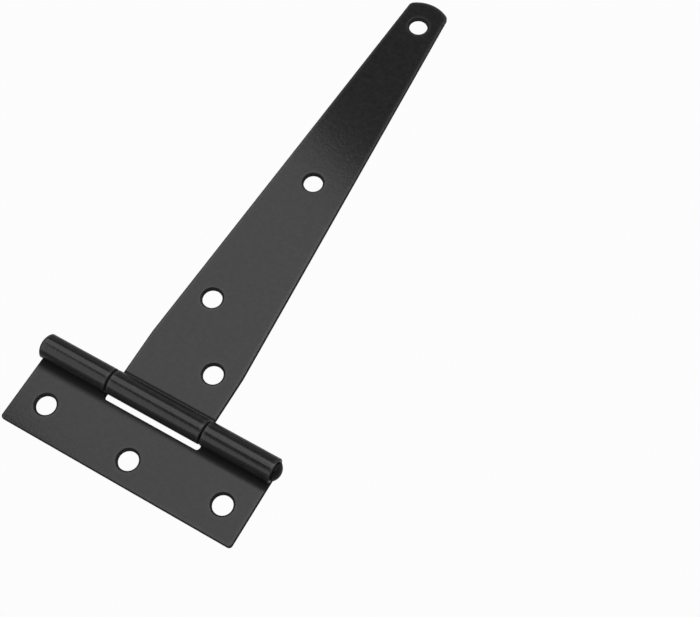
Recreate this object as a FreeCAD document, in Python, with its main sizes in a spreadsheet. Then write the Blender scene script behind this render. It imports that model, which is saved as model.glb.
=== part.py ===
import FreeCAD, Part
import math
import os

import Sketcher

# A light tee hinge in black coated sheet steel, in millimetres.
# The pin runs along X with its head at the +X end. The strap points along +Y
# and the cross leaf lies on the -Y side. Z = 0 is the flat back of both leaves,
# and the origin is on that plane, under the middle of the pin.

SIZES = {
    # sheet that both leaves are cut and rolled from
    "sheet_thickness": 1.2,
    "edge_break": 0.2,
    "curl_end_gap": 0.1,
    # pin and its fit in the rolled knuckles
    "pin_diameter": 4.5,
    "pin_clearance": 0.05,
    "pin_head_diameter": 5.4,
    "pin_head_rim": 0.15,
    "pin_head_dome": 1.3,
    "pin_head_round": 0.3,
    "pin_end_gap": 0.2,
    "pin_tail_diameter": 6.2,
    "pin_tail_dome": 1.0,
    # cross leaf, the short one that the two outer knuckles belong to
    "cross_width": 71.0,
    "cross_reach": 22.0,
    "cross_corner_radius": 1.0,
    "notch_reach": 4.5,
    "notch_corner_radius": 0.9,
    "knuckle_gap": 0.4,
    # strap leaf, the long tapered one with the middle knuckle
    "strap_width": 28.6,
    "strap_straight": 18.0,
    "strap_length": 150.0,
    "tip_width": 12.7,
    "tip_radius": 10.0,
    "tip_corner_radius": 2.0,
    # punched screw holes
    "hole_diameter": 5.5,
    "hole_rim": 0.5,
    "cross_hole_spacing": 54.8,
    "cross_hole_shift": 0.4,
    "cross_outer_hole_reach": 13.4,
    "cross_middle_hole_reach": 15.4,
    "strap_first_hole_reach": 15.3,
    "strap_first_hole_offset": 6.7,
    "strap_second_hole_reach": 34.0,
    "strap_second_hole_offset": 5.5,
    "strap_third_hole_reach": 78.6,
    "strap_tip_hole_setback": 9.0,
}

ROLL_RADIUS = "Sizes.pin_diameter / 2 + Sizes.pin_clearance + Sizes.sheet_thickness"
NOTCH_WIDTH = "Sizes.strap_width + 2 * Sizes.knuckle_gap"
WASTE = 5.0
STRAP_SIDE = 1
CROSS_SIDE = -1
TOUCH = 1e-4
EDGE_SIZE = {"Fillet": "Radius", "Chamfer": "Size"}


def make_sheet(doc):
    """Put the driving sizes in a spreadsheet, one alias to a row."""
    sheet = doc.addObject("Spreadsheet::Sheet", "Sizes")
    for row, (name, value) in enumerate(SIZES.items(), start=1):
        sheet.set(f"A{row}", name)
        sheet.set(f"B{row}", str(value))
        sheet.setAlias(f"B{row}", name)
    doc.recompute()
    return sheet


def origin_plane(body, role):
    """Find one of the body's own origin planes."""
    for feature in body.Origin.OriginFeatures:
        if feature.Role == role:
            return feature
    raise ValueError(f"no origin plane {role}")


def make_body(doc, name):
    """Start a body whose label is the name of its node."""
    body = doc.addObject("PartDesign::Body", name)
    body.Label = name
    return body


def make_sketch(body, name, role):
    """Start a sketch on one of the body's origin planes."""
    sketch = body.newObject("Sketcher::SketchObject", name)
    sketch.AttachmentSupport = [(origin_plane(body, role), "")]
    sketch.MapMode = "FlatFace"
    return sketch


def at(across, along):
    """A point in a sketch."""
    return FreeCAD.Vector(across, along, 0)


def name_size(sketch, constraint, name, expression):
    """Add a sketch dimension and bind it to the spreadsheet."""
    index = sketch.addConstraint(constraint)
    sketch.renameConstraint(index, name)
    sketch.setExpression(f"Constraints.{name}", expression)


def join_ends(sketch, chain):
    """Join the geometry in chain end to start, and the last to the first."""
    following = chain[1:] + chain[:1]
    for (this_edge, _, this_end), (next_edge, next_start, _) in zip(chain, following):
        sketch.addConstraint(Sketcher.Constraint("Coincident", this_edge, this_end, next_edge, next_start))


def roll_radius(sheet):
    """Outer radius of a knuckle: the pin, its clearance and one thickness of sheet."""
    return sheet.pin_diameter / 2 + sheet.pin_clearance + sheet.sheet_thickness


def curl_end_angle(sheet):
    """How far below level, seen from the pin axis, the curl stops short of the sheet."""
    outer = roll_radius(sheet)
    end_height = sheet.sheet_thickness + sheet.curl_end_gap
    return math.asin((outer - end_height) / outer)


def draw_rolled_profile(body, sheet, side, reach_name):
    """Side view of a leaf: a flat sheet whose end is rolled back to its own face."""
    sketch = make_sketch(body, "RolledProfile", "YZ_Plane")
    sketch.MapReversed = side == CROSS_SIDE
    thickness = sheet.sheet_thickness
    reach = getattr(sheet, reach_name)
    outer = roll_radius(sheet)
    inner = outer - thickness
    stop = curl_end_angle(sheet)
    centre = at(0, outer)
    normal = FreeCAD.Vector(0, 0, 1)
    under = 3 * math.pi / 2
    along_lip = at(math.cos(stop), -math.sin(stop))

    back = sketch.addGeometry(Part.LineSegment(at(0, 0), at(reach, 0)))
    edge = sketch.addGeometry(Part.LineSegment(at(reach, 0), at(reach, thickness)))
    front = sketch.addGeometry(Part.LineSegment(at(reach, thickness), at(0, thickness)))
    bore = sketch.addGeometry(Part.ArcOfCircle(Part.Circle(centre, normal, inner), -stop, under))
    lip = sketch.addGeometry(Part.LineSegment(centre + along_lip * inner, centre + along_lip * outer))
    barrel = sketch.addGeometry(Part.ArcOfCircle(Part.Circle(centre, normal, outer), -stop, under))
    join_ends(sketch, [
        (back, 1, 2),
        (edge, 1, 2),
        (front, 1, 2),
        (bore, 2, 1),
        (lip, 1, 2),
        (barrel, 1, 2),
    ])
    sketch.addConstraint(Sketcher.Constraint("Coincident", back, 1, -1, 1))
    sketch.addConstraint(Sketcher.Constraint("Horizontal", back))
    sketch.addConstraint(Sketcher.Constraint("Vertical", edge))
    sketch.addConstraint(Sketcher.Constraint("Horizontal", front))
    sketch.addConstraint(Sketcher.Constraint("PointOnObject", front, 2, -2))
    sketch.addConstraint(Sketcher.Constraint("PointOnObject", barrel, 3, -2))
    sketch.addConstraint(Sketcher.Constraint("Coincident", bore, 3, barrel, 3))
    sketch.addConstraint(Sketcher.Constraint("PointOnObject", barrel, 3, lip))
    name_size(sketch, Sketcher.Constraint("DistanceY", edge, 1, edge, 2, thickness),
              "thickness", "Sizes.sheet_thickness")
    name_size(sketch, Sketcher.Constraint("Distance", back, reach),
              "reach", f"Sizes.{reach_name}")
    name_size(sketch, Sketcher.Constraint("DistanceY", -1, 1, barrel, 3, outer),
              "roll_radius", ROLL_RADIUS)
    name_size(sketch, Sketcher.Constraint("DistanceY", -1, 1, lip, 2, thickness + sheet.curl_end_gap),
              "lip_height", "Sizes.sheet_thickness + Sizes.curl_end_gap")
    return sketch


def pad_width(body, sketch, expression):
    """Pad the side view to the leaf's width, half to each side."""
    pad = body.newObject("PartDesign::Pad", "RolledSheet")
    pad.Profile = sketch
    pad.SideType = "Symmetric"
    pad.setExpression("Length", expression)
    sketch.Visibility = False
    return pad


def cut_through(body, sketch, name):
    """Cut a sketch drawn on the back plane up through the whole leaf."""
    body.Document.recompute()
    before = body.Shape.Volume
    pocket = body.newObject("PartDesign::Pocket", name)
    pocket.Profile = sketch
    pocket.Type = "ThroughAll"
    pocket.Reversed = True
    body.Document.recompute()
    if body.Shape.Volume >= before - TOUCH:
        raise ValueError(f"{name} cuts nothing")
    return pocket


def draw_strap_waste(body, sheet):
    """What is sheared off round the strap: it leaves the taper and the round tip."""
    sketch = make_sketch(body, "StrapWaste", "XY_Plane")
    half = sheet.strap_width / 2
    tip_half = sheet.tip_width / 2
    length = sheet.strap_length
    tip_centre = length - sheet.tip_radius
    tip_start = tip_centre + math.sqrt(sheet.tip_radius ** 2 - tip_half ** 2)
    straight = sheet.strap_straight
    side = half + WASTE
    end = length + WASTE

    right = sketch.addGeometry(Part.LineSegment(at(half, straight), at(tip_half, tip_start)))
    tip = sketch.addGeometry(Part.Arc(at(tip_half, tip_start), at(0, length), at(-tip_half, tip_start)))
    left = sketch.addGeometry(Part.LineSegment(at(-tip_half, tip_start), at(-half, straight)))
    step_left = sketch.addGeometry(Part.LineSegment(at(-half, straight), at(-side, straight)))
    out_left = sketch.addGeometry(Part.LineSegment(at(-side, straight), at(-side, end)))
    out_end = sketch.addGeometry(Part.LineSegment(at(-side, end), at(side, end)))
    out_right = sketch.addGeometry(Part.LineSegment(at(side, end), at(side, straight)))
    step_right = sketch.addGeometry(Part.LineSegment(at(side, straight), at(half, straight)))
    chain = [right, tip, left, step_left, out_left, out_end, out_right, step_right]
    join_ends(sketch, [(edge, 1, 2) for edge in chain])
    for edge in (step_left, step_right):
        sketch.addConstraint(Sketcher.Constraint("Horizontal", edge))
    for edge in (out_left, out_right):
        sketch.addConstraint(Sketcher.Constraint("Vertical", edge))
    sketch.addConstraint(Sketcher.Constraint("Symmetric", right, 1, left, 2, -2))
    sketch.addConstraint(Sketcher.Constraint("Symmetric", right, 2, left, 1, -2))
    sketch.addConstraint(Sketcher.Constraint("Symmetric", out_end, 1, out_end, 2, -2))
    name_size(sketch, Sketcher.Constraint("DistanceX", left, 2, right, 1, 2 * half),
              "width", "Sizes.strap_width")
    name_size(sketch, Sketcher.Constraint("DistanceY", -1, 1, right, 1, straight),
              "straight", "Sizes.strap_straight")
    name_size(sketch, Sketcher.Constraint("DistanceX", left, 1, right, 2, 2 * tip_half),
              "tip_width", "Sizes.tip_width")
    name_size(sketch, Sketcher.Constraint("Radius", tip, sheet.tip_radius),
              "tip_radius", "Sizes.tip_radius")
    name_size(sketch, Sketcher.Constraint("DistanceY", -1, 1, tip, 3, tip_centre),
              "tip_centre", "Sizes.strap_length - Sizes.tip_radius")
    name_size(sketch, Sketcher.Constraint("DistanceX", step_left, 2, step_left, 1, WASTE),
              "waste_side", f"{WASTE}")
    name_size(sketch, Sketcher.Constraint("DistanceY", -1, 1, out_end, 1, end),
              "waste_end", f"Sizes.strap_length + {WASTE}")
    return sketch


def draw_notch(body, sheet):
    """The cut-out of the cross leaf that the middle knuckle turns in."""
    sketch = make_sketch(body, "NotchProfile", "XY_Plane")
    half = sheet.strap_width / 2 + sheet.knuckle_gap
    low = -sheet.notch_reach
    high = roll_radius(sheet) + WASTE
    corners = [at(-half, low), at(half, low), at(half, high), at(-half, high)]
    edges = [
        sketch.addGeometry(Part.LineSegment(start, end))
        for start, end in zip(corners, corners[1:] + corners[:1])
    ]
    join_ends(sketch, [(edge, 1, 2) for edge in edges])
    bottom, right, top, left = edges
    sketch.addConstraint(Sketcher.Constraint("Horizontal", top))
    for edge in (right, left):
        sketch.addConstraint(Sketcher.Constraint("Vertical", edge))
    sketch.addConstraint(Sketcher.Constraint("Symmetric", bottom, 1, bottom, 2, -2))
    name_size(sketch, Sketcher.Constraint("DistanceX", bottom, 1, bottom, 2, 2 * half),
              "notch_width", NOTCH_WIDTH)
    name_size(sketch, Sketcher.Constraint("DistanceY", bottom, 1, -1, 1, -low),
              "notch_reach", "Sizes.notch_reach")
    name_size(sketch, Sketcher.Constraint("DistanceY", -1, 1, top, 1, high),
              "notch_top", f"{ROLL_RADIUS} + {WASTE}")
    return sketch


def draw_holes(body, centres):
    """Circles for the screw holes, each tied to the sizes that place it."""
    sketch = make_sketch(body, "ScrewHoles", "XY_Plane")
    normal = FreeCAD.Vector(0, 0, 1)
    for number, (across, along) in enumerate(centres, start=1):
        circle = sketch.addGeometry(Part.Circle(at(number, number), normal, number))
        name_size(sketch, Sketcher.Constraint("Diameter", circle, 2 * number),
                  f"diameter_{number}", "Sizes.hole_diameter")
        name_size(sketch, Sketcher.Constraint("DistanceX", -1, 1, circle, 3, number),
                  f"across_{number}", across)
        name_size(sketch, Sketcher.Constraint("DistanceY", -1, 1, circle, 3, number),
                  f"along_{number}", along)
    return sketch


def dress_edges(body, kind, name, expression, wanted):
    """Fillet or chamfer every edge of the body that wanted() accepts."""
    body.Document.recompute()
    base = body.Tip
    edges = [
        f"Edge{number}"
        for number, edge in enumerate(base.Shape.Edges, start=1)
        if not edge.Degenerated and wanted(edge)
    ]
    if not edges:
        raise ValueError(f"{name} finds no edge")
    dressing = body.newObject(f"PartDesign::{kind}", name)
    dressing.Base = (base, edges)
    dressing.setExpression(EDGE_SIZE[kind], expression)
    body.Document.recompute()
    return dressing


def is_straight(edge):
    """True for a straight edge."""
    return isinstance(edge.Curve, Part.Line)


def runs_along(edge, axis):
    """True for a straight edge parallel to the given axis."""
    if not is_straight(edge):
        return False
    direction = edge.Curve.Direction
    return abs(abs(direction.dot(axis)) - 1) < TOUCH


def is_corner(edge, along):
    """True for an upright edge of the sheet at the given place along Y."""
    return runs_along(edge, FreeCAD.Vector(0, 0, 1)) and abs(edge.CenterOfMass.y - along) < TOUCH


def sample_points(edge):
    """Start, quarter points and end of an edge."""
    first, last = edge.ParameterRange
    steps = 4
    return [edge.valueAt(first + (last - first) * step / steps) for step in range(steps + 1)]


def is_hole_rim(edge, sheet):
    """True for the upper rim of a screw hole."""
    if not isinstance(edge.Curve, Part.Circle) or abs(edge.Curve.Axis.z) < 1 - TOUCH:
        return False
    same_size = abs(edge.Curve.Radius - sheet.hole_diameter / 2) < TOUCH
    return same_size and edge.isClosed() and abs(edge.Curve.Center.z - sheet.sheet_thickness) < TOUCH


def is_sheared_edge(edge, sheet, side):
    """True where the sheared rim of the sheet meets its front or its back."""
    if edge.isClosed():
        return False
    outer = roll_radius(sheet)
    faces = ((0, outer), (sheet.sheet_thickness, outer - sheet.sheet_thickness))
    points = sample_points(edge)
    if runs_along(edge, FreeCAD.Vector(1, 0, 0)):
        middle = edge.CenterOfMass
        if abs(middle.y) < TOUCH or middle.z > sheet.sheet_thickness + TOUCH:
            return False
    for height, radius in faces:
        flat = [abs(point.z - height) < TOUCH and side * point.y > -TOUCH for point in points]
        rolled = [abs(math.hypot(point.y, point.z - outer) - radius) < TOUCH for point in points]
        if all(on_flat or on_roll for on_flat, on_roll in zip(flat, rolled)):
            return True
    return False


def build_strap_leaf(doc, sheet):
    """The long leaf: its taper, its round tip, its middle knuckle and four holes."""
    body = make_body(doc, "strap_leaf")
    profile = draw_rolled_profile(body, sheet, STRAP_SIDE, "strap_length")
    pad_width(body, profile, "Sizes.strap_width")
    cut_through(body, draw_strap_waste(body, sheet), "ShearTaper")
    holes = draw_holes(body, [
        ("Sizes.strap_first_hole_offset", "Sizes.strap_first_hole_reach"),
        ("-Sizes.strap_second_hole_offset", "Sizes.strap_second_hole_reach"),
        ("0", "Sizes.strap_third_hole_reach"),
        ("0", "Sizes.strap_length - Sizes.strap_tip_hole_setback"),
    ])
    cut_through(body, holes, "PunchHoles")
    tip_half = sheet.tip_width / 2
    tip_start = sheet.strap_length - sheet.tip_radius + math.sqrt(sheet.tip_radius ** 2 - tip_half ** 2)
    dress_edges(body, "Fillet", "TipCorners", "Sizes.tip_corner_radius",
                lambda edge: is_corner(edge, tip_start))
    dress_edges(body, "Chamfer", "HoleRims", "Sizes.hole_rim", lambda edge: is_hole_rim(edge, sheet))
    dress_edges(body, "Chamfer", "ShearedEdges", "Sizes.edge_break",
                lambda edge: is_sheared_edge(edge, sheet, STRAP_SIDE))
    return body


def build_cross_leaf(doc, sheet):
    """The short leaf: its notch, its two outer knuckles and three holes."""
    body = make_body(doc, "cross_leaf")
    profile = draw_rolled_profile(body, sheet, CROSS_SIDE, "cross_reach")
    pad_width(body, profile, "Sizes.cross_width")
    cut_through(body, draw_notch(body, sheet), "CutNotch")
    holes = draw_holes(body, [
        ("Sizes.cross_hole_shift - Sizes.cross_hole_spacing / 2", "-Sizes.cross_outer_hole_reach"),
        ("Sizes.cross_hole_shift", "-Sizes.cross_middle_hole_reach"),
        ("Sizes.cross_hole_shift + Sizes.cross_hole_spacing / 2", "-Sizes.cross_outer_hole_reach"),
    ])
    cut_through(body, holes, "PunchHoles")
    dress_edges(body, "Fillet", "NotchCorners", "Sizes.notch_corner_radius",
                lambda edge: is_corner(edge, -sheet.notch_reach))
    dress_edges(body, "Fillet", "LeafCorners", "Sizes.cross_corner_radius",
                lambda edge: is_corner(edge, -sheet.cross_reach))
    dress_edges(body, "Chamfer", "HoleRims", "Sizes.hole_rim", lambda edge: is_hole_rim(edge, sheet))
    dress_edges(body, "Chamfer", "ShearedEdges", "Sizes.edge_break",
                lambda edge: is_sheared_edge(edge, sheet, CROSS_SIDE))
    return body


def dome_ball(radius, rise):
    """Radius of the ball that a flat dome is a cap of."""
    return (radius ** 2 + rise ** 2) / (2 * rise)


def draw_pin_section(body, sheet):
    """Half section of the pin: domed tail, shank, and a head with a rim and a dome."""
    sketch = make_sketch(body, "PinSection", "XY_Plane")
    normal = FreeCAD.Vector(0, 0, 1)
    shank = sheet.pin_diameter / 2
    head = sheet.pin_head_diameter / 2
    tail = sheet.pin_tail_diameter / 2
    head_seat = sheet.cross_width / 2 + sheet.pin_end_gap
    head_rim = head_seat + sheet.pin_head_rim
    head_top = head_rim + sheet.pin_head_dome
    tail_top = head_seat + sheet.pin_tail_dome
    head_ball = dome_ball(head, sheet.pin_head_dome)
    tail_ball = dome_ball(tail, sheet.pin_tail_dome)

    axis = sketch.addGeometry(Part.LineSegment(at(head_top, 0), at(-tail_top, 0)))
    tail_dome = sketch.addGeometry(Part.ArcOfCircle(
        Part.Circle(at(tail_ball - tail_top, 0), normal, tail_ball),
        math.pi - math.asin(tail / tail_ball), math.pi))
    tail_step = sketch.addGeometry(Part.LineSegment(at(-head_seat, tail), at(-head_seat, shank)))
    side = sketch.addGeometry(Part.LineSegment(at(-head_seat, shank), at(head_seat, shank)))
    head_step = sketch.addGeometry(Part.LineSegment(at(head_seat, shank), at(head_seat, head)))
    rim = sketch.addGeometry(Part.LineSegment(at(head_seat, head), at(head_rim, head)))
    head_dome = sketch.addGeometry(Part.ArcOfCircle(
        Part.Circle(at(head_top - head_ball, 0), normal, head_ball),
        0, math.asin(head / head_ball)))
    join_ends(sketch, [
        (axis, 1, 2),
        (tail_dome, 2, 1),
        (tail_step, 1, 2),
        (side, 1, 2),
        (head_step, 1, 2),
        (rim, 1, 2),
        (head_dome, 2, 1),
    ])
    for edge in (side, rim):
        sketch.addConstraint(Sketcher.Constraint("Horizontal", edge))
    for edge in (tail_step, head_step):
        sketch.addConstraint(Sketcher.Constraint("Vertical", edge))
    for edge, point in ((axis, 1), (axis, 2), (tail_dome, 3), (head_dome, 3)):
        sketch.addConstraint(Sketcher.Constraint("PointOnObject", edge, point, -1))
    seat = "Sizes.cross_width / 2 + Sizes.pin_end_gap"
    name_size(sketch, Sketcher.Constraint("DistanceY", -1, 1, side, 1, shank),
              "shank_radius", "Sizes.pin_diameter / 2")
    name_size(sketch, Sketcher.Constraint("DistanceY", -1, 1, rim, 1, head),
              "head_radius", "Sizes.pin_head_diameter / 2")
    name_size(sketch, Sketcher.Constraint("DistanceY", -1, 1, tail_step, 1, tail),
              "tail_radius", "Sizes.pin_tail_diameter / 2")
    name_size(sketch, Sketcher.Constraint("DistanceX", -1, 1, head_step, 1, head_seat),
              "head_seat", seat)
    name_size(sketch, Sketcher.Constraint("DistanceX", tail_step, 1, -1, 1, head_seat),
              "tail_seat", seat)
    name_size(sketch, Sketcher.Constraint("DistanceX", rim, 1, rim, 2, sheet.pin_head_rim),
              "head_rim", "Sizes.pin_head_rim")
    name_size(sketch, Sketcher.Constraint("DistanceX", -1, 1, axis, 1, head_top),
              "head_top", f"{seat} + Sizes.pin_head_rim + Sizes.pin_head_dome")
    name_size(sketch, Sketcher.Constraint("DistanceX", axis, 2, -1, 1, tail_top),
              "tail_top", f"{seat} + Sizes.pin_tail_dome")
    return sketch


def build_hinge_pin(doc, sheet):
    """The pin that both leaves turn on, kept in by its head and its spread tail."""
    body = make_body(doc, "hinge_pin")
    section = draw_pin_section(body, sheet)
    turned = body.newObject("PartDesign::Revolution", "TurnedPin")
    turned.Profile = section
    turned.ReferenceAxis = (section, ["H_Axis"])
    turned.Angle = 360
    section.Visibility = False
    rim_end = sheet.cross_width / 2 + sheet.pin_end_gap + sheet.pin_head_rim
    dress_edges(body, "Fillet", "SoftHead", "Sizes.pin_head_round",
                lambda edge: not is_straight(edge) and abs(edge.CenterOfMass.x - rim_end) < TOUCH)
    body.setExpression("Placement.Base.z", ROLL_RADIUS)
    return body


def check_document(doc, bodies):
    """Stop if any object failed or any piece is not one sound solid."""
    for item in doc.Objects:
        if "Invalid" in item.State or "Error" in item.State:
            raise ValueError(f"{item.Name} failed: {item.State}")
    for body in bodies:
        shape = body.Shape
        if shape.isNull() or not shape.isValid() or len(shape.Solids) != 1:
            raise ValueError(f"{body.Label} is not one sound solid")


def main():
    """Build the hinge and write one file for each piece."""
    os.makedirs("parts", exist_ok=True)
    doc = FreeCAD.newDocument("TeeHinge")
    sheet = make_sheet(doc)
    bodies = [
        build_cross_leaf(doc, sheet),
        build_strap_leaf(doc, sheet),
        build_hinge_pin(doc, sheet),
    ]
    doc.recompute()
    check_document(doc, bodies)
    for body in bodies:
        body.Shape.exportStep(f"parts/{body.Label}.step")
        box = body.Shape.BoundBox
        print(f"{body.Label}: {body.Shape.Volume:.1f} mm3, {len(body.Shape.Faces)} faces, "
              f"x {box.XMin:.2f} to {box.XMax:.2f}, y {box.YMin:.2f} to {box.YMax:.2f}, "
              f"z {box.ZMin:.2f} to {box.ZMax:.2f}")


main()
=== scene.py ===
import math

import bpy
from mathutils import Matrix, Vector


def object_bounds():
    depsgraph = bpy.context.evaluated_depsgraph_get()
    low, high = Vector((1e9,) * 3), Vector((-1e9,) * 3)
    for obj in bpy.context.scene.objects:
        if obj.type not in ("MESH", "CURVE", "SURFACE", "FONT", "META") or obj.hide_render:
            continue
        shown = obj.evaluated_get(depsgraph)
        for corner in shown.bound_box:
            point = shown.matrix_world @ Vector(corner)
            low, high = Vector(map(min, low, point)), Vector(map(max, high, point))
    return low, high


# A black-coated tee hinge over a white studio floor, seen almost from above.
# Lengths are in metres and in the CAD frame: the pin runs along X, the strap along +Y, and Z is up.

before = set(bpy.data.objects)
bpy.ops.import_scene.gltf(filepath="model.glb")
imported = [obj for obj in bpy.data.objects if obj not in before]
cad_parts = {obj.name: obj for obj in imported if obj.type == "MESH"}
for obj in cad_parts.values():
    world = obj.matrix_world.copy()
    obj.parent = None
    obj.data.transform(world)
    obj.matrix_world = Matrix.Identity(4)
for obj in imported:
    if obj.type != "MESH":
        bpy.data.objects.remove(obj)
cad_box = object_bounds()

MILLIMETRE = 0.001
WHITE = (1.0, 1.0, 1.0, 1.0)

# Camera: its turn is a rotation vector in radians, from this frame to the eye's
CAMERA_PLACE = Vector((0.106413, -0.070889, 0.305221))
CAMERA_TURN = Vector((2.627085, 0.692083, -0.188601))
FOCAL_PIXELS = 1247.85
PICTURE_WIDTH = 700.0
SENSOR_WIDTH = 36.0
NEAREST_SEEN = 0.01
FARTHEST_SEEN = 100.0

# Studio: the glows are shares of plain white, and the room's heights are sines of the angle above level
FLOOR_DROP = 155.0 * MILLIMETRE
FLOOR_SIZE = 40.0
FLOOR_COLOR = 0.50
FIBRES_PER_METRE = 900.0
FIBRE_DEPTH = 0.01 * MILLIMETRE
FIBRE_STRENGTH = 0.2
GLOW_SEEN = 0.965
GLOW_MIRRORED = 0.10
ROOM_HORIZON = 0.27
ROOM_TOP = 0.08
HORIZON_HEIGHT = 0.06
TOP_HEIGHT = 0.45

# Coat: the scales of its noises, and the span of a noise that is put to use
CLOUDS_PER_METRE = 700.0
GRAINS_PER_METRE = 2600.0
PEEL_PER_METRE = 1400.0
PEEL_DEPTH = 0.018 * MILLIMETRE
NOISE_LOW = 0.30
NOISE_HIGH = 0.70
BLUE_TINT = 1.03

# Edges: softened by a bevel that is mostly crisp and partly as wide as a roll
BEVEL_SAMPLES = 6
CRISP_EDGE = 0.18 * MILLIMETRE
ROLLED_EDGE = 2.0 * MILLIMETRE
ROLLED_SHARE = 0.08

# Painted highlight on the margins and painted shade on the rims: each mask starts and is full at a
# cosine of the angle that a bevel turns the face
MARGIN_WIDTH = 1.9 * MILLIMETRE
MARGIN_START = 1.0
MARGIN_FULL = 0.88
RIM_WIDTH = 0.7 * MILLIMETRE
RIM_START = 0.99
RIM_FULL = 0.93
RIM_SHARE = 0.75

# Painted shade on the flat sheet, with more roughness: its cut walls, the cross leaf's corner beside the
# barrel and the strap's fold line beside the barrel
PAINTED_SHADE_COLOR = 0.002
DULL_ROUGHNESS = 0.85
WALL_LIMIT = 0.85
SHEET_TOP = 1.35 * MILLIMETRE
CORNER_START = -4.45 * MILLIMETRE
CORNER_END = -6.6 * MILLIMETRE
FOLD_PLACE = 4.6 * MILLIMETRE
FOLD_START = 0.1 * MILLIMETRE
FOLD_END = 0.6 * MILLIMETRE

# Input sockets of a mix node's two values, and its output socket, for each kind of value
MIX_SOCKETS = {"FLOAT": (2, 3, 0), "VECTOR": (4, 5, 1), "RGBA": (6, 7, 2)}


class Shading:
    """The node tree of a material or world while it is filled."""

    def __init__(self, owner):
        owner.use_nodes = True
        self.tree = owner.node_tree
        self.tree.nodes.clear()

    def add(self, kind, inputs=None, **settings):
        """Adds a node. An input that is given a socket is linked, and one given a value is set to it."""
        node = self.tree.nodes.new(kind)
        for name, value in settings.items():
            setattr(node, name, value)
        for name, value in (inputs or {}).items():
            if isinstance(value, bpy.types.NodeSocket):
                self.tree.links.new(value, node.inputs[name])
            else:
                node.inputs[name].default_value = value
        return node

    def compute(self, operation, *values, clamp=False):
        """One step of arithmetic."""
        inputs = dict(enumerate(values))
        node = self.add("ShaderNodeMath", inputs, operation=operation, use_clamp=clamp)
        return node.outputs["Value"]

    def ramp(self, value, start, end, first=0.0, last=1.0, curve="LINEAR"):
        """Goes from first to last while the value goes from start to end, and stays there beyond."""
        inputs = {"Value": value, "From Min": start, "From Max": end, "To Min": first, "To Max": last}
        node = self.add("ShaderNodeMapRange", inputs, interpolation_type=curve)
        return node.outputs["Result"]

    def mix(self, kind, share, first, second):
        """The first value with that share of the second mixed in."""
        first_input, second_input, output = MIX_SOCKETS[kind]
        inputs = {0: share, first_input: first, second_input: second}
        return self.add("ShaderNodeMix", inputs, data_type=kind).outputs[output]

    def split(self, vector):
        """The X, Y and Z of a vector."""
        node = self.add("ShaderNodeSeparateXYZ", {"Vector": vector})
        return node.outputs["X"], node.outputs["Y"], node.outputs["Z"]

    def noise(self, place, scale, detail, roughness=0.5):
        """Noise that stays put on the object."""
        inputs = {"Vector": place, "Scale": scale, "Detail": detail, "Roughness": roughness}
        return self.add("ShaderNodeTexNoise", inputs).outputs["Fac"]

    def bevel(self, width):
        """The normal that the surface would have with its edges rounded to that width."""
        return self.add("ShaderNodeBevel", {"Radius": width}, samples=BEVEL_SAMPLES).outputs["Normal"]

    def finish(self, kind, surface):
        """Links the surface to an output node of that kind."""
        self.add(kind, {"Surface": surface})


def black(level):
    """A near-black of that level, faintly blue."""
    return (level, level, level * BLUE_TINT, 1.0)


def gray(level):
    """A neutral gray of that level."""
    return (level, level, level, 1.0)


def add_camera():
    """Puts the camera where the picture was taken, with the turn and focal length fitted to it."""
    camera = bpy.data.objects.new("camera", bpy.data.cameras.new("camera"))
    bpy.context.collection.objects.link(camera)
    camera.data.lens = FOCAL_PIXELS * SENSOR_WIDTH / PICTURE_WIDTH
    camera.data.sensor_width = SENSOR_WIDTH
    camera.data.clip_start = NEAREST_SEEN
    camera.data.clip_end = FARTHEST_SEEN
    object_to_eye = Matrix.Rotation(CAMERA_TURN.length, 3, CAMERA_TURN.normalized())
    # The eye looks along +Z with Y down, and a camera looks along -Z with Y up.
    camera_to_eye = Matrix.Diagonal((1.0, -1.0, -1.0))
    turn = object_to_eye.transposed() @ camera_to_eye
    camera.matrix_world = Matrix.Translation(CAMERA_PLACE) @ turn.to_4x4()
    bpy.context.scene.camera = camera


def white_share(shading):
    """How much of the floor or room is plain white: most of it to the eye, and a little in a mirror."""
    ray = shading.add("ShaderNodeLightPath").outputs
    mirrored = shading.compute("ADD", ray["Is Glossy Ray"], ray["Is Transmission Ray"], clamp=True)
    mirrored_share = shading.compute("MULTIPLY", mirrored, GLOW_MIRRORED)
    return shading.compute("MULTIPLY_ADD", ray["Is Camera Ray"], GLOW_SEEN, mirrored_share)


def painted_shade_mask(shading, coordinates):
    """Painted shade: one on the flat sheet's cut walls, in the cross leaf's corner beside the barrel and
    on the strap's fold line.
    """
    _, _, facing_up = shading.split(coordinates["Normal"])
    _, along, height = shading.split(coordinates["Object"])
    walls = shading.compute("LESS_THAN", shading.compute("ABSOLUTE", facing_up), WALL_LIMIT)

    near_barrel = shading.ramp(along, CORNER_END, CORNER_START, curve="SMOOTHSTEP")
    on_cross_leaf = shading.compute("LESS_THAN", along, 0.0)
    corner = shading.compute("MULTIPLY", near_barrel, on_cross_leaf)

    from_fold = shading.compute("ABSOLUTE", shading.compute("SUBTRACT", along, FOLD_PLACE))
    fold = shading.ramp(from_fold, FOLD_START, FOLD_END, first=1.0, last=0.0, curve="SMOOTHSTEP")

    painted_shade = shading.compute("MAXIMUM", walls, shading.compute("MAXIMUM", corner, fold))
    on_sheet = shading.compute("LESS_THAN", height, SHEET_TOP)
    return shading.compute("MULTIPLY", painted_shade, on_sheet)


def edge_mask(shading, width, start, full):
    """From none on a face to one near its edges and holes, by how far a bevel would turn it."""
    face = shading.add("ShaderNodeNewGeometry").outputs["Normal"]
    inputs = {0: shading.bevel(width), 1: face}
    agreement = shading.add("ShaderNodeVectorMath", inputs, operation="DOT_PRODUCT")
    return shading.ramp(agreement.outputs["Value"], start, full)


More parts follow.
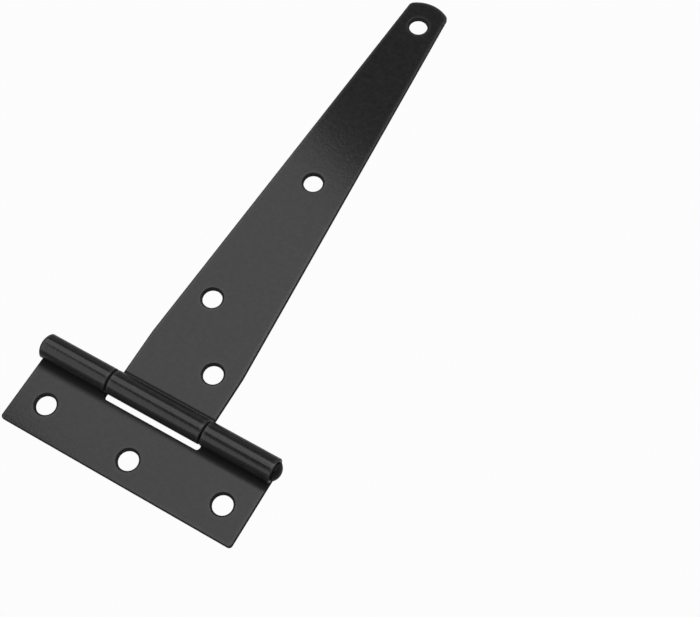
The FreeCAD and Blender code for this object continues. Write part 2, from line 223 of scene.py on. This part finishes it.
def coat_material(name, dark, light, painted_highlight_level, smooth, rough, ior):
    """Baked black coat: orange peel, cloudy tone, grainy gloss, painted highlight on margins, painted
    shade on cut edges and by the barrel.
    """
    material = bpy.data.materials.new(name)
    shading = Shading(material)
    coordinates = shading.add("ShaderNodeTexCoord").outputs
    place = coordinates["Object"]

    clouds = shading.noise(place, CLOUDS_PER_METRE, detail=3.0, roughness=0.55)
    tone = shading.add("ShaderNodeValToRGB", {"Fac": clouds})
    dark_end, light_end = tone.color_ramp.elements
    dark_end.position = NOISE_LOW
    dark_end.color = black(dark)
    light_end.position = NOISE_HIGH
    light_end.color = black(light)

    grain = shading.noise(place, GRAINS_PER_METRE, detail=2.0, roughness=0.6)
    gloss = shading.ramp(grain, NOISE_LOW, NOISE_HIGH, first=smooth, last=rough)

    peel = shading.noise(place, PEEL_PER_METRE, detail=2.5, roughness=0.55)
    edges = shading.mix("VECTOR", ROLLED_SHARE, shading.bevel(CRISP_EDGE), shading.bevel(ROLLED_EDGE))
    relief = {"Strength": 1.0, "Distance": PEEL_DEPTH, "Height": peel, "Normal": edges}
    bump = shading.add("ShaderNodeBump", relief)

    # Painted highlight: a paler colour on the margins near edges and holes, standing in for light caught
    # by rolled edges.
    painted_highlight = edge_mask(shading, MARGIN_WIDTH, MARGIN_START, MARGIN_FULL)
    rim = edge_mask(shading, RIM_WIDTH, RIM_START, RIM_FULL)
    # Painted shade: a darker, rougher coat on the rims, the cut walls, the cross leaf's corner and the
    # strap's fold line beside the barrel.
    rim_shade = shading.compute("MULTIPLY", rim, RIM_SHARE)
    painted_shade = shading.compute("MAXIMUM", painted_shade_mask(shading, coordinates), rim_shade)
    highlighted_tone = shading.mix("RGBA", painted_highlight, tone.outputs["Color"], gray(painted_highlight_level))

    shader = shading.add("ShaderNodeBsdfPrincipled", {
        "Base Color": shading.mix("RGBA", painted_shade, highlighted_tone, gray(PAINTED_SHADE_COLOR)),
        "Roughness": shading.mix("FLOAT", painted_shade, gloss, DULL_ROUGHNESS),
        "IOR": ior,
        "Normal": bump.outputs["Normal"],
    })
    shading.finish("ShaderNodeOutputMaterial", shader.outputs["BSDF"])
    return material


def floor_material():
    """White studio paper: a share of it is plain white to the eye, and the rest keeps shadows."""
    material = bpy.data.materials.new("floor_paper")
    shading = Shading(material)
    place = shading.add("ShaderNodeTexCoord").outputs["Object"]
    fibres = shading.noise(place, FIBRES_PER_METRE, detail=3.0)
    relief = {"Strength": FIBRE_STRENGTH, "Distance": FIBRE_DEPTH, "Height": fibres}
    bump = shading.add("ShaderNodeBump", relief)
    paper = shading.add("ShaderNodeBsdfDiffuse", {
        "Color": gray(FLOOR_COLOR),
        "Normal": bump.outputs["Normal"],
    })
    glow = shading.add("ShaderNodeEmission", {"Color": WHITE, "Strength": 1.0})
    both = shading.add("ShaderNodeMixShader", {
        "Fac": white_share(shading),
        1: paper.outputs["BSDF"],
        2: glow.outputs["Emission"],
    })
    shading.finish("ShaderNodeOutputMaterial", both.outputs["Shader"])
    return material


def add_floor():
    """A wide floor, low enough for the strap to hang clear of it at the end of its turn."""
    half = FLOOR_SIZE / 2
    corners = [(-half, -half, 0), (half, -half, 0), (half, half, 0), (-half, half, 0)]
    mesh = bpy.data.meshes.new("studio_floor")
    mesh.from_pydata(corners, [], [(0, 1, 2, 3)])
    mesh.materials.append(floor_material())
    floor = bpy.data.objects.new("studio_floor", mesh)
    bpy.context.collection.objects.link(floor)
    floor.location.z = cad_box[0][2] - FLOOR_DROP


def add_softbox(name, place, target, width, height, radiance, turn=0.0):
    """A large flat lamp at place, facing target and turned in degrees on that axis, evenly bright."""
    lamp = bpy.data.lights.new(name, "AREA")
    lamp.shape = "RECTANGLE"
    lamp.size = width
    lamp.size_y = height
    lamp.energy = radiance * math.pi * width * height
    softbox = bpy.data.objects.new(name, lamp)
    bpy.context.collection.objects.link(softbox)
    softbox.location = place
    aim = Vector(target) - Vector(place)
    facing = aim.to_track_quat("-Z", "Y").to_matrix()
    softbox.rotation_euler = (facing @ Matrix.Rotation(math.radians(turn), 3, "Z")).to_euler()
    softbox.visible_camera = False


def add_softboxes():
    """The far lamp's reflection lies on the barrel's end of the hinge. The others fill in round it."""
    add_softbox(
        "softbox_far",
        place=(-0.060, 0.103, 0.300),
        target=(-0.060, 0.103, 0.0),
        width=0.460,
        height=0.233,
        radiance=1.23,
        turn=-22.0,
    )
    add_softbox(
        "softbox_near",
        place=(-0.335, -0.520, 0.465),
        target=(0.056, -0.367, 0.037),
        width=1.0,
        height=0.50,
        radiance=0.95,
    )
    add_softbox(
        "softbox_right",
        place=(0.22, 0.30, 0.62),
        target=(0.03, 0.07, 0.0),
        width=0.56,
        height=0.52,
        radiance=2.0,
    )
    add_softbox(
        "softbox_back",
        place=(0.30, 0.60, 0.80),
        target=(0.0, 0.05, 0.0),
        width=0.8,
        height=0.6,
        radiance=1.0,
    )


def add_room():
    """A dim room round the floor, paler near the horizon and white to the eye."""
    room = bpy.data.worlds.new("studio_room")
    bpy.context.scene.world = room
    shading = Shading(room)
    _, _, height = shading.split(shading.add("ShaderNodeTexCoord").outputs["Generated"])
    dim = shading.ramp(height, HORIZON_HEIGHT, TOP_HEIGHT, ROOM_HORIZON, ROOM_TOP, "SMOOTHSTEP")
    background = shading.add("ShaderNodeBackground", {
        "Color": WHITE,
        "Strength": shading.mix("FLOAT", white_share(shading), dim, 1.0),
    })
    shading.finish("ShaderNodeOutputWorld", background.outputs["Background"])


def dress(node, material):
    """Gives every slot of a CAD node the material."""
    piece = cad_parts[node]
    if not piece.data.materials:
        piece.data.materials.append(material)
    for slot in piece.material_slots:
        slot.material = material


def dress_hinge():
    """Coats the two leaves alike, and the pin rougher and darker."""
    leaf_coat = coat_material(
        "leaf_coat",
        dark=0.0080,
        light=0.0155,
        painted_highlight_level=0.050,
        smooth=0.12,
        rough=0.18,
        ior=1.5,
    )
    pin_coat = coat_material(
        "pin_coat",
        dark=0.0040,
        light=0.0060,
        painted_highlight_level=0.0060,
        smooth=0.34,
        rough=0.44,
        ior=1.36,
    )
    dress("cross_leaf", leaf_coat)
    dress("strap_leaf", leaf_coat)
    dress("hinge_pin", pin_coat)


add_camera()
add_floor()
add_room()
add_softboxes()
dress_hinge()

bpy.context.scene.view_settings.view_transform = "Standard"
